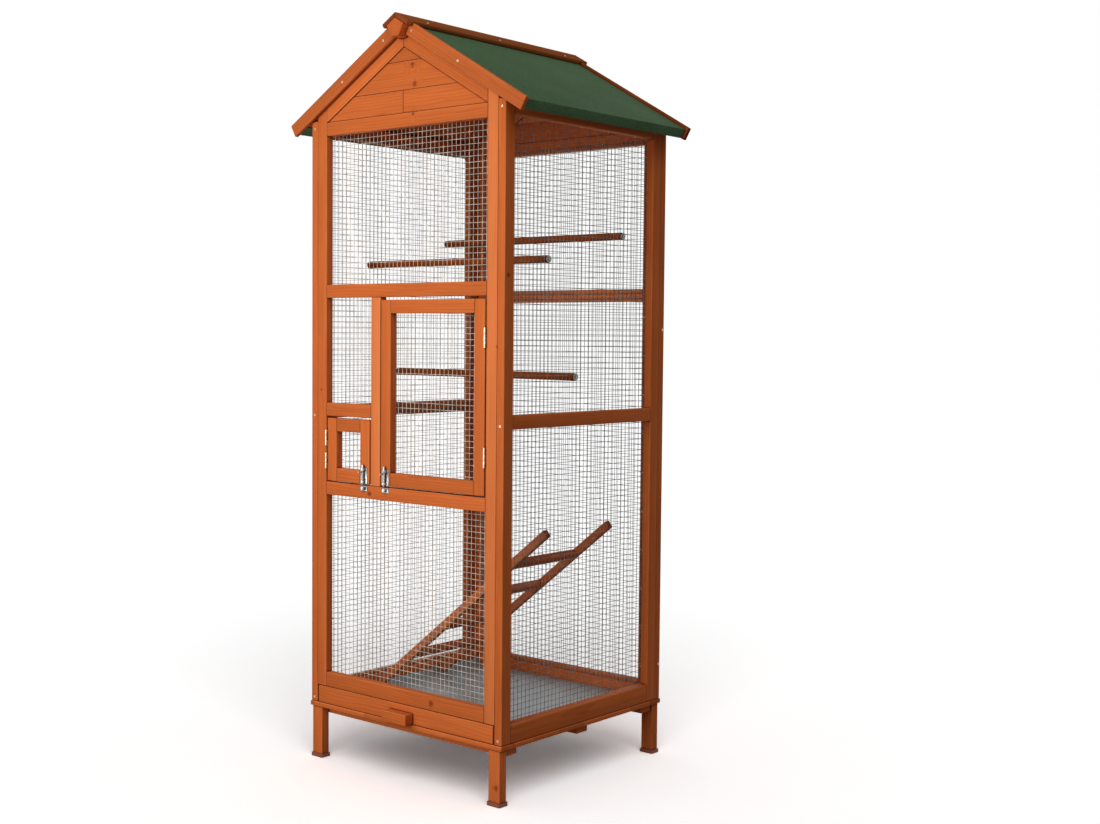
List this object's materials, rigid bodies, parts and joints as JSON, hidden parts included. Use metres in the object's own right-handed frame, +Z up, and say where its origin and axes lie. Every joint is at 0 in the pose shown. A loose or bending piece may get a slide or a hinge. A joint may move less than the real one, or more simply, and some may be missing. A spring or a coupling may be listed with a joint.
{
  "type": "bird aviary",
  "caption": "Free-standing wooden bird aviary on legs: welded wire walls, felted gable roof, hinged front doors with barrel bolts, perches, a ladder and a pull-out tray.",
  "frame": {"origin": "on the floor, in the middle of the bounding box's bottom face", "axes": "+Z up, +X to the right seen from the front, +Y from the front to the rear"},
  "size_m": [0.7224, 0.616, 1.6785],
  "materials": {
    "stained_wood": "satin brown stain",
    "wire": "galvanised wire",
    "zinc": "bright zinc plate",
    "felt": "mineral felt, matt",
    "pan_metal": "galvanised",
    "foot_plastic": "matt"
  },
  "bodies": {
    "frame": {"base_boards": "stained_wood", "floor_slats": "stained_wood", "foot_caps": "foot_plastic", "front_barge_boards": "stained_wood", "front_bottom_rail": "stained_wood", "front_gable_boards": "stained_wood", "front_gable_rail": "stained_wood", "front_lower_rail": "stained_wood", "front_mesh_lower": "wire", "front_mesh_middle": "wire", "front_mesh_upper": "wire", "front_mullion": "stained_wood", "front_rafters": "stained_wood", "front_short_rail": "stained_wood", "front_stiles": "stained_wood", "front_upper_rail": "stained_wood", "hinge_frame_leaves": "zinc", "hinge_pins": "zinc", "ladder_rails": "stained_wood", "ladder_rungs": "stained_wood", "latch_keepers": "zinc", "left_side_mesh": "wire", "left_side_rails": "stained_wood", "left_side_stiles": "stained_wood", "legs": "stained_wood", "perch_screws": "zinc", "perches": "stained_wood", "rear_barge_boards": "stained_wood", "rear_gable_boards": "stained_wood", "rear_mesh": "wire", "rear_rafters": "stained_wood", "rear_rails": "stained_wood", "rear_stiles": "stained_wood", "ridge_beam": "stained_wood", "ridge_cap": "stained_wood", "right_side_mesh": "wire", "right_side_rails": "stained_wood", "right_side_stiles": "stained_wood", "roof_boards": "stained_wood", "roof_felt": "felt"},
    "big_door": {"big_door_stiles": "stained_wood", "big_door_rails": "stained_wood", "big_door_mesh": "wire", "big_door_hinge_leaves": "zinc", "big_door_latch_plate": "zinc"},
    "small_door": {"small_door_stiles": "stained_wood", "small_door_rails": "stained_wood", "small_door_mesh": "wire", "small_door_hinge_leaves": "zinc", "small_door_latch_plate": "zinc"},
    "big_bolt": {"big_door_bolt": "zinc"},
    "small_bolt": {"small_door_bolt": "zinc"},
    "tray": {"tray_front": "stained_wood", "tray_pull": "stained_wood", "tray_sides": "stained_wood", "tray_battens": "stained_wood", "tray_pan": "pan_metal"}
  },
  "joints": [
    {"name": "big_door_hinge", "type": "hinge", "parent": "frame", "child": "big_door", "pos_m": [0.246, -0.2837, 0.8565], "axis": [0, 0, 1], "range_deg": [0, 160]},
    {"name": "small_door_hinge", "type": "hinge", "parent": "frame", "child": "small_door", "pos_m": [-0.246, -0.2837, 0.72225], "axis": [0, 0, -1], "range_deg": [0, 160]},
    {"name": "tray_slide", "type": "slide", "parent": "frame", "child": "tray", "axis": [0, -1, 0], "range_m": [0, 0.4]},
    {"name": "big_bolt_slide", "type": "slide", "parent": "big_door", "child": "big_bolt", "axis": [0, 0, -1], "range_m": [0, 0.012]},
    {"name": "small_bolt_slide", "type": "slide", "parent": "small_door", "child": "small_bolt", "axis": [0, 0, -1], "range_m": [0, 0.012]}
  ]
}
